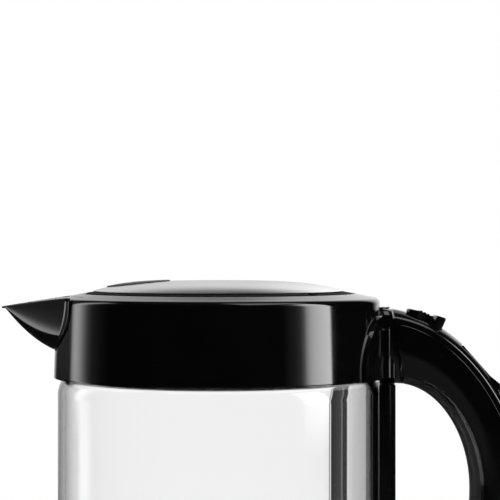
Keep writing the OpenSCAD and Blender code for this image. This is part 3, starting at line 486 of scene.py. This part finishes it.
def turned(name, profile, node, arc=360.0, closed=True):
    """Closed solid turned about the jug's axis, with a gap towards the beak if the arc isn't full.

    The profile is a closed line, or an open one from axis to axis."""
    bm = bmesh.new()
    start = math.radians(180 + (360 - arc) / 2)
    verts, edges = drawn_line(bm, [(r * math.cos(start), r * math.sin(start), z) for r, z in profile], closed)
    bmesh.ops.spin(bm, geom=verts + edges, cent=(0, 0, 0), axis=(0, 0, 1), angle=math.radians(arc),
                   steps=TURN_STEPS, use_merge=arc == 360, use_duplicate=False)
    bmesh.ops.remove_doubles(bm, verts=bm.verts, dist=1e-7)
    if arc < 360:
        bmesh.ops.holes_fill(bm, edges=[e for e in bm.edges if e.is_boundary], sides=0)
    bmesh.ops.recalc_face_normals(bm, faces=bm.faces)
    finish(mesh_object(name, bm, sharp=35), node)


def prism(name, outline, start, end, place, last=None):
    """Outline drawn along the second axis from start to end, where it may differ, then put in its place."""
    bm = bmesh.new()
    verts = [bm.verts.new(Vector((x, start, z)) * MM) for x, z in outline]
    made = bmesh.ops.extrude_face_region(bm, geom=[bm.faces.new(verts)])["geom"]
    for corner in [v for v in made if isinstance(v, bmesh.types.BMVert)]:
        old = min(range(len(verts)), key=lambda i: (verts[i].co - corner.co).length)
        x, z = (last or outline)[old]
        corner.co = Vector((x, end, z)) * MM
    bmesh.ops.recalc_face_normals(bm, faces=bm.faces)
    bmesh.ops.transform(bm, matrix=place, verts=bm.verts)
    return mesh_object(name, bm)


def combine(piece, other, operation):
    """Applies another closed mesh to a piece and takes the other away."""
    step = piece.modifiers.new("combine", "BOOLEAN")
    step.operation = operation
    step.solver = "EXACT"
    step.object = other
    solid = piece.evaluated_get(bpy.context.evaluated_depsgraph_get())
    mesh = bpy.data.meshes.new_from_object(solid)
    piece.modifiers.clear()
    piece.data = mesh
    mesh.set_sharp_from_angle(angle=math.radians(40))
    bpy.data.objects.remove(other)


def cut_box(piece, place, low, high):
    """Cuts the box between two corners out of a piece."""
    size, middle = Vector(high) - Vector(low), (Vector(high) + Vector(low)) / 2
    bm = bmesh.new()
    bmesh.ops.create_cube(bm, size=MM)
    bmesh.ops.transform(bm, matrix=place @ Matrix.Translation(middle * MM) @ Matrix.Diagonal((*size, 1)),
                        verts=bm.verts)
    combine(piece, mesh_object("pocket", bm, smooth=False), "DIFFERENCE")


# --------------------------------------------------------------- glass jug
# Heights count from the table
GLASS_R, GLASS_WALL, SHOULDER_R, NECK_R = 68.7, 3.0, 11.0, 62.5
GLASS_LOW, SHOULDER_Z, GLASS_TOP = 48.0, 189.3, RIM_MM - 23.5


def glass_line(inset):
    """Outline of the glass from its foot to its mouth, moved inwards by the inset."""
    middle, radius = GLASS_R - SHOULDER_R, SHOULDER_R - inset
    stop = math.degrees(math.acos((NECK_R - inset - middle) / radius))
    return ([(GLASS_R - inset, GLASS_LOW)] + arc_points(middle, SHOULDER_Z, radius, 0, stop, 28)
            + [(NECK_R - inset, GLASS_TOP)])


turned("glass_jug_blown", glass_line(0) + glass_line(GLASS_WALL)[::-1], "glass_jug")


# ------------------------------------------ handle cover with its pockets
# Heights count from the rim
COLLAR_LOW_R, COLLAR_TOP_R, RECESS_R = 70.3, 69.2, 58.5
COLLAR_H, DECK_DROP = 35.5, 1.7
HANDLE_REACH, MID_Z, TAIL_LOW, TAIL_HIGH = 132.4, -80.0, -189.7, -155.7
SPINE_X, SPINE_HALF, GRIP_HALF, GRIP_T = 75.4, 11.0, 13.0, 24.4
ROOT_TOP, ROOT_LOW = -6.2, -38.6
# Side view of the handle's outer and inner line, each as two curves that meet at half height
RAIL_OUT = [
    [(COLLAR_LOW_R - 0.3, ROOT_TOP), (HANDLE_REACH - 27.8, ROOT_TOP - 1.2), (HANDLE_REACH, MID_Z + 31),
     (HANDLE_REACH, MID_Z)],
    [(HANDLE_REACH, MID_Z), (HANDLE_REACH, MID_Z + (TAIL_LOW - MID_Z) * 0.42),
     (HANDLE_REACH - 26.4, MID_Z + (TAIL_LOW - MID_Z) * 0.78), (SPINE_X + 0.6, TAIL_LOW)]]
RAIL_IN = [
    [(SPINE_X + 0.6, ROOT_LOW), (HANDLE_REACH - 38.4, ROOT_LOW), (HANDLE_REACH - GRIP_T, MID_Z + 20),
     (HANDLE_REACH - GRIP_T, MID_Z - 4)],
    [(HANDLE_REACH - GRIP_T, MID_Z - 4), (HANDLE_REACH - GRIP_T, MID_Z + (TAIL_HIGH - MID_Z) * 0.5),
     (HANDLE_REACH - 38.4, MID_Z + (TAIL_HIGH - MID_Z) * 0.84), (SPINE_X + 0.6, TAIL_HIGH)]]
# Depth and section of the two strips, their lap over the seam and how far they stand out there
COVER_T, COVER_EDGE, COVER_FILLET, COVER_POWER = 6.0, 3.3, 1.0, 5
LINER_T, LINER_CROWN, LINER_POWER = 3.0, 0.25, 2.4
SEAM_LAP, SEAM_PROUD, SEAM_FOLD = 0.35, 0.06, Vector((0.5, 0.0))
# Fine ridge along the cover's lower edge, a little stronger away from the collar
RIDGE_OUT, RIDGE_STEP = 0.1, 0.06
# Stretch of the rails that the strips follow, and the rings along it
COVER_START, LINER_START, STRIP_END, STRIP_RINGS = 0.043, 0.068, 1.926, 120
# Pockets in the cover for the button, the paddle and the release slide: places along the outer rail, sizes
RUN_GAP, HEADROOM = 0.3, 20.0
BUTTON_T, BUTTON_L, BUTTON_W = 0.185, 16.4, 13.0
PADDLE_START, PADDLE_MID, PADDLE_DROP = 0.367, 0.453, 0.58
PADDLE_L, PADDLE_W, PADDLE_POCKET = 26.0, 13.0, 9.0
SLIDE_START, SLIDE_END, SLIDE_HALF, SLIDE_LOW, SLIDE_TOP = 71.2, 91.2, 3.3, -23.8, -12.7


def cubic(points, t):
    weights = ((1 - t) ** 3, 3 * t * (1 - t) ** 2, 3 * t * t * (1 - t), t ** 3)
    return Vector([sum(w * p[i] for w, p in zip(weights, points)) for i in (0, 1)])


def on_rail(rail, t):
    """Point of a rail at t from 0 at the collar to 2 at the housing."""
    return cubic(rail[0], t) if t < 1 else cubic(rail[1], t - 1)


def rail_slope(t):
    return on_rail(RAIL_OUT, t + 0.01) - on_rail(RAIL_OUT, t - 0.01)


def on_handle(at, along):
    """Place at a point of the handle's side view, with its first axis along the given direction."""
    return (Matrix.Translation((at.x * MM, 0, RIM + at.y * MM))
            @ Matrix.Rotation(-math.atan2(along.y, along.x), 4, "Y"))


def grip_section(t):
    """Middle, direction outwards, half thickness and half width of the handle at t."""
    outer, inner = on_rail(RAIL_OUT, t), on_rail(RAIL_IN, t)
    wide = SPINE_HALF + (GRIP_HALF - SPINE_HALF) * math.sin(math.pi / 2 * t)
    return (outer + inner) / 2, (outer - inner).normalized(), (outer - inner).length / 2, wide


def grip_ring(t, line):
    """Closed ring at t through half a section, given as (half width, height over the middle)."""
    middle, out, half, wide = grip_section(t)
    both = line + [Vector((-p.x, p.y)) for p in reversed(line)]
    return [(middle.x + out.x * p.y, p.x, RIM_MM + middle.y + out.y * p.y) for p in both]


def side_point(t, height, power, proud=0.0):
    """Point of the handle's rounded side at a height over its middle, moved out by proud."""
    middle, out, half, wide = grip_section(t)
    share = min(1, abs(height) / half)
    return Vector((wide * (1 - share ** power) ** (1 / power) + proud, height))


def cover_ring(t):
    """Section of the cover: upright sides, a tight rounded edge and a low crown."""
    half = grip_section(t)[2]

    def side(depth):
        return side_point(t, half - depth, COVER_POWER, SEAM_PROUD)

    def crown(share):
        return Vector((side(COVER_EDGE).x * share, half - COVER_EDGE * share * share))

    foot = COVER_T + SEAM_LAP
    ridge = Vector((RIDGE_OUT * (1 + min(1, t)), 0.0))
    line = [side(foot) - SEAM_FOLD, side(foot), side(foot - RIDGE_STEP) + ridge,
            side(foot - 2 * RIDGE_STEP) + ridge, side(foot - 4 * RIDGE_STEP)]
    line += [side(d) for d in between(foot - 5 * RIDGE_STEP, COVER_EDGE + COVER_FILLET, 4)]
    near = 1 - COVER_FILLET / side(COVER_EDGE).x
    line += rounded(side(COVER_EDGE + COVER_FILLET), side(COVER_EDGE), crown(near), 7)
    line += [crown(near * u) for u in between(0.92, 0.02, 9)]
    return grip_ring(t, line)


def liner_ring(t):
    """Section of the liner: a round strip along the inside of the handle."""
    half = grip_section(t)[2]
    line = [side_point(t, LINER_T + SEAM_LAP - half, LINER_POWER) - SEAM_FOLD]
    line += [side_point(t, height - half, LINER_POWER, SEAM_PROUD)
             for height in between(LINER_T + SEAM_LAP, LINER_CROWN, 8)]
    line += [Vector((line[-1].x * u, LINER_CROWN * u * u - half)) for u in (0.66, 0.33, 0.02)]
    return grip_ring(t, line)


def cover_strip():
    cover = swept("handle_cover_strip", [cover_ring(t) for t in between(COVER_START, STRIP_END, STRIP_RINGS)])
    cut_box(cover, on_handle(on_rail(RAIL_OUT, BUTTON_T), rail_slope(BUTTON_T)),
            (-BUTTON_L / 2 - RUN_GAP, -BUTTON_W / 2 - RUN_GAP, -COVER_T),
            (BUTTON_L / 2 + RUN_GAP, BUTTON_W / 2 + RUN_GAP, HEADROOM))
    paddle_end = on_rail(RAIL_OUT, PADDLE_START) - Vector((0, PADDLE_DROP))
    cut_box(cover, on_handle(paddle_end, rail_slope(PADDLE_MID)),
            (-RUN_GAP, -PADDLE_W / 2 - RUN_GAP, -PADDLE_POCKET),
            (PADDLE_L + RUN_GAP, PADDLE_W / 2 + RUN_GAP, HEADROOM))
    cut_box(cover, Matrix.Translation((0, 0, RIM)),
            (SLIDE_START, -SLIDE_HALF, SLIDE_LOW), (SLIDE_END, SLIDE_HALF, SLIDE_TOP))
    finish(cover, "handle_cover")


cover_strip()


# ---------------------------------------------------------- release button
# Low wedge with ribs for the thumb, hollowed sides and a square block at its rear end, in its own frame:
# along the handle, across it and up. Its foot reaches into the pocket, over a channel for the slide.
BUTTON_FOOT, CHANNEL_TOP = -1.9, -0.6
RIB_X, RIB_Z, RIB_H = (-3.2, -1.5, 0.2), 2.0, 0.45
HALF_L, HALF_W = BUTTON_L / 2, BUTTON_W / 2
CHANNEL_END = HALF_L - 1.5
RIB_FORM = ((0, 0), (0.12, 0.7), (0.3, 1), (0.8, 1), (0.98, 0.7), (1.1, 0))
BUTTON_SIDE = ([(-HALF_L, BUTTON_FOOT), (-HALF_L, 0.3), (-HALF_L + 0.25, 0.8), (1 - HALF_L, 1.15)]
               + [(x + along, RIB_Z + up * RIB_H) for x in RIB_X for along, up in RIB_FORM]
               + [(3.2, 2.5), (3.9, 3.3), (HALF_L - 1, 3.72), (HALF_L - 0.5, 3.62), (HALF_L - 0.12, 3.2),
                  (HALF_L, 2.7), (HALF_L, BUTTON_FOOT)])
THUMB_HOLLOW = (rounded(Vector((-3.4, 4.3)), Vector((1.0, 3.2)), Vector((2.2, 4.3)), 12)
                + [Vector(p) for p in ((2.6, 4.83), (2.95, 5.35), (3.28, 5.88), (3.6, 6.42))])
# Way that the hollow's steep end leans as it goes up, and the points between which the lean sets in
HOLLOW_LEAN, LEAN_FROM, LEAN_TO = Vector((0.9, -0.55)), 5, 14
PLAN_H, PLAN_LOW_LEAN, PLAN_TOP_LEAN = 6.0, -0.8, 1.0


def button_plan(lean):
    """The button from above; lean moves the hollow's steep end back and inwards."""
    half = [Vector((-HALF_L, 2.0)), Vector((-HALF_L + 0.4, 3.2)), Vector((1.3 - HALF_L, 4.2))]
    for i, p in enumerate(THUMB_HOLLOW):
        half.append(p + lean * HOLLOW_LEAN * min(1, max(0, (i - LEAN_FROM) / (LEAN_TO - LEAN_FROM))))
    half += [Vector((3.7 + lean * HOLLOW_LEAN.x, HALF_W)), Vector((HALF_L - 1, HALF_W)),
             Vector((HALF_L - 0.3, HALF_W - 0.3)), Vector((HALF_L, HALF_W - 1))]
    return half + [Vector((p.x, -p.y)) for p in reversed(half)]


def release_button():
    """What the side view's solid and the plan's solid have in common."""
    place = on_handle(on_rail(RAIL_OUT, BUTTON_T), rail_slope(BUTTON_T))
    button = prism("button_cap_ribbed", BUTTON_SIDE, -HALF_W, HALF_W, place)
    upright = prism("button_plan", button_plan(PLAN_LOW_LEAN), -PLAN_H, PLAN_H,
                    place @ Matrix.Rotation(math.radians(90), 4, "X"), button_plan(PLAN_TOP_LEAN))
    combine(button, upright, "INTERSECT")
    cut_box(button, place,
            (-HALF_L - 1, -SLIDE_HALF, BUTTON_FOOT - 1), (CHANNEL_END, SLIDE_HALF, CHANNEL_TOP))
    finish(button, "button_cap")


release_button()


# ------------------------------------------------------------ handle liner
liner_rings = [liner_ring(t) for t in between(LINER_START, STRIP_END, STRIP_RINGS)]
finish(swept("handle_liner_strip", liner_rings), "handle_liner")


# --------------------------------------------------------- beak and its bead
BEAK_REACH = COLLAR_TOP_R + 23.8
BEAK_START = RECESS_R + 2.5
BEAK_HALF, TIP_HALF, LIP_L, LIP_T = 33.0, 1.4, 1.6, 0.7
BEAK_WALL, SKIN = 2.0, 0.05
# The upper edge dips from the collar's rim towards the tip; the keel falls back from the tip in a curve
EDGE_DROP, EDGE_FALL = 1.25, 0.16
KEEL_RUN, KEEL_FALL, KEEL_BEND = 31, 1.22, 0.0188
FLANK_POWER = 2 / 3
# The bead follows the collar's wall round the flank and runs out over BEAD_FADE degrees before BEAD_END
BEAD_PROUD, BEAD_OVER, BEAD_W, BEAD_STEP = 0.7, 0.04, 1.75, 0.45
HOLLOW_UP, HOLLOW_ACROSS = 1.4, 0.8
BEAD_END, BEAD_FADE = 78, 30
BEAD_RINGS, BEAK_RINGS = 60, 40
# Angles round the flank at which the skin has its points, closer where the flank bends most
FLANK_ANGLES = (3, 5, 7.5, 10.5, 14, 18, 23, 28, 34, 40, 46, 53, 60, 67, 74, 80, 85, 90)
INSIDE_ANGLES, INSIDE_INSET = (90, 80, 70, 60, 50, 40, 30, 20, 12), 1.2


def beak_top(x):
    return -math.hypot(EDGE_DROP, EDGE_FALL * max(0, x - RECESS_R))


def beak_low(x):
    run = max(0, min(KEEL_RUN, BEAK_REACH - LIP_L - x))
    return beak_top(BEAK_REACH) - LIP_T - KEEL_FALL * run + KEEL_BEND * run * run


def beak_wide(x):
    return BEAK_HALF - (BEAK_HALF - TIP_HALF) * max(0, x - BEAK_START) / (BEAK_REACH - BEAK_START)


def beak_point(x, angle, more=0.0):
    """Point of the beak's flank moved out by more: angle 0 at its upper edge, 90 at the keel.

    A move of 1 mm or more widens the flank only, and a smaller one deepens it too."""
    c, s = math.cos(math.radians(angle)), math.sin(math.radians(angle))
    wide = max(0.05, beak_wide(x) + more)
    tall = max(0.1, beak_top(x) - beak_low(x) + (more if more < 1 else 0))
    return Vector((-x, wide * max(0, c) ** FLANK_POWER, beak_top(x) - tall * s ** FLANK_POWER))


def wall_r(z):
    """Radius of the collar's wall at a height under the rim."""
    return COLLAR_TOP_R + (COLLAR_LOW_R - COLLAR_TOP_R) * (-z - DECK_DROP) / (COLLAR_H - DECK_DROP)


def on_wall(angle, more, proud):
    """Point of the flank where it meets the collar's wall moved out by proud, found by halving a range."""
    low, high = 45.0, 80.0
    for _ in range(40):
        x = (low + high) / 2
        p = beak_point(x, angle, more)
        if math.hypot(p.x, p.y) > wall_r(p.z) + proud:
            high = x
        else:
            low = x
    return beak_point(low, angle, more)


def bead_ring(angle, side):
    """Section of the bead: out of the flank in a hollow, over a flat, down a small step."""
    size = max(0.02, min(1, (BEAD_END - angle) / BEAD_FADE))
    proud = BEAD_OVER + BEAD_PROUD * size
    corner = on_wall(angle, 0.0, proud)
    up = (on_wall(angle, 0.0, proud + 1.0) - corner).normalized()
    edge = on_wall(angle, 0.15 + BEAD_W * size, proud)
    across = (edge - corner).normalized()
    down = -Vector((edge.x, edge.y, 0)).normalized()
    hollow = rounded(corner + up * HOLLOW_UP * size, corner, corner + across * HOLLOW_ACROSS * size, 7)
    step = rounded(edge - across * BEAD_STEP * size, edge, edge + down * BEAD_STEP * size + across * 0.1, 5)
    # The first and the last point lie hidden under the skins
    line = [hollow[0] + down * 0.5 + up * 0.1] + hollow + step + [edge + down * (proud + 0.2) + across * 0.3]
    return [(p.x, side * p.y, RIM_MM + p.z) for p in line]


def beak_skin_ring(share):
    """Section of the beak's skin from the collar at 0 to the tip at 1: inside, upper edge and outside."""
    def x_at(angle):
        start = -on_wall(angle, 0.0, -0.3).x
        return start + (BEAK_REACH - start) * share

    x = x_at(0)
    top, wide = beak_top(x), beak_wide(x)
    inside_y, outside_y = max(0.05, wide - BEAK_WALL), wide + SKIN
    low = min(1.4, 0.7 * (top - beak_low(x)))
    edge = top + 2 * SKIN
    half = [beak_point(x_at(a), a, -INSIDE_INSET) for a in INSIDE_ANGLES]
    half += [Vector((-x, inside_y - SKIN, top - low)), Vector((-x, inside_y - SKIN, top - 0.2)),
             Vector((-x, inside_y + 0.2, edge))]
    half += rounded(Vector((-x, max(0.05, wide - 0.35), edge)), Vector((-x, outside_y, edge)),
                    Vector((-x, outside_y, top - 0.3)), 3)
    half += [beak_point(x_at(a), a, SKIN) for a in FLANK_ANGLES]
    return [(p.x, -p.y, RIM_MM + p.z) for p in half] + [(p.x, p.y, RIM_MM + p.z) for p in half[::-1]]


def rough_bead(face):
    """Faces of the CAD copy that the finer bead lies over."""
    proud = []
    for v in face.verts:
        x, y, z = v.co / MM
        z -= RIM_MM
        if x > 0 or not -COLLAR_H < z < -DECK_DROP - 0.3:
            return False
        proud.append(math.hypot(x, y) - wall_r(z))
    return min(proud) > -0.06 and 0.3 < max(proud) < BEAD_PROUD + 0.25


smooth_copy("collar", angle=30, unwanted=rough_bead)


# ------------------------------------------------------------ collar's skins
# Thin closed skins over the deck, the shoulder and the wall; the shoulder's leaves the beak's mouth free
BEAK_ARC = 360 - 2 * 29.2
BOWL_R = RECESS_R + 4.6
KEEL_Z = -25.0
DECK_ROUND = 2.4
ROUND_R = COLLAR_TOP_R - DECK_ROUND
SKIN_DEPTH = 0.4


def on_deck(r, inset=0.0):
    """Point of the deck's skin at a radius, as (radius, height)."""
    return r, RIM_MM + SKIN - DECK_DROP * (r - RECESS_R) / (ROUND_R - RECESS_R) - inset


def on_side(z, inset=0.0):
    """Point of the wall's skin at a height under the rim, as (radius, height)."""
    return wall_r(z) + SKIN - inset, RIM_MM + z


def shoulder_line(inset):
    """Outline of the collar from the bowl over its shoulder down to the keel's height."""
    return ([on_deck(BOWL_R, inset), on_deck(ROUND_R - 1, inset)]
            + arc_points(ROUND_R, RIM_MM - DECK_DROP - DECK_ROUND, DECK_ROUND + SKIN - inset, 78.4, 1.9, 16)
            + [on_side(-8, inset), on_side(KEEL_Z, inset)])


turned("collar_deck_inner",
       [(RECESS_R - SKIN, RIM_MM - 1.2), (RECESS_R - SKIN, RIM_MM - 0.3), (RECESS_R + 0.03, RIM_MM - 0.08),
        on_deck(RECESS_R + 0.25), on_deck(RECESS_R + 0.8), on_deck(BOWL_R), on_deck(BOWL_R, SKIN_DEPTH),
        (RECESS_R + 0.8, on_deck(RECESS_R, SKIN_DEPTH)[1]), (RECESS_R + SKIN_DEPTH, RIM_MM - 1.2)], "collar")
turned("collar_shoulder", shoulder_line(0) + shoulder_line(SKIN_DEPTH)[::-1], "collar", arc=BEAK_ARC)
FOOT_R, FOOT_Z = wall_r(-COLLAR_H), RIM_MM - COLLAR_H
turned("collar_wall_low",
       [on_side(KEEL_Z), on_side(1 - COLLAR_H), on_side(0.7 - COLLAR_H), on_side(0.4 - COLLAR_H),
        (FOOT_R - 0.08, FOOT_Z + 0.05), (FOOT_R - 0.4, FOOT_Z - SKIN), (FOOT_R - 2.2, FOOT_Z - SKIN),
        (FOOT_R - 2.2, FOOT_Z + SKIN_DEPTH), (FOOT_R - 0.6, FOOT_Z + 0.6),
        (wall_r(KEEL_Z) - SKIN_DEPTH, RIM_MM + KEEL_Z)], "collar")
# Rings closer together towards the tip
shares = [math.sin(math.pi / 2 * u) for u in between(0, 1, BEAK_RINGS)]
finish(swept("beak_skin", [beak_skin_ring(share) for share in shares]), "collar")
for side, name in ((-1, "front"), (1, "back")):
    # Rings closer together near the upper edge, where the flank bends most
    angles = [math.degrees(math.asin(u ** 1.5)) for u in between(0.05, 0.98, BEAD_RINGS)]
    finish(swept("beak_bead_" + name, [bead_ring(a, side) for a in angles]), "collar")
smooth_copy("handle_shell", angle=12, flat=0.6)


# ---------------------------------------------------------------- lid's disc
# Domed steel whose rim is folded a little inwards
DISC_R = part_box("lid_disc")[1].x / MM
DISC_T, DISC_LOW, DOME_EDGE, DOME_H = 0.6, -0.2, 1.2, 5.4
DISC_INNER_R = DISC_R - 1.0


def dome_line(radius, drop):
    """Points of the dome from its middle to its edge, lowered by the drop."""
    return [(radius * u, RIM_MM + DOME_EDGE + (DOME_H - DOME_EDGE) * (1 - u ** 4) - drop)
            for u in between(0, 0.995, 30)]


turned("lid_disc_domed",
       dome_line(DISC_R, 0)
       + [(DISC_R - 0.04, RIM_MM + DOME_EDGE), (DISC_R - 0.06, RIM_MM + DOME_EDGE - 0.08),
          (DISC_R - 0.4, RIM_MM + 0.7), (DISC_R - 0.45, RIM_MM + DISC_LOW), (DISC_INNER_R, RIM_MM + DISC_LOW)]
       + dome_line(DISC_INNER_R, DISC_T)[::-1], "lid_disc", closed=False)


# --------------------------------------------------------- copies of the rest
for node in ("lid_frame", "lid_seal", "lid_drum", "lid_grip", "base_cover", "lower_housing"):
    smooth_copy(node, angle=25)
for node in ("handle_spine", "switch_paddle", "lid_underplate", "lid_hood", "lid_latch", "cord_gland"):
    smooth_copy(node, bevel_mm=0.2, flat=0.6)
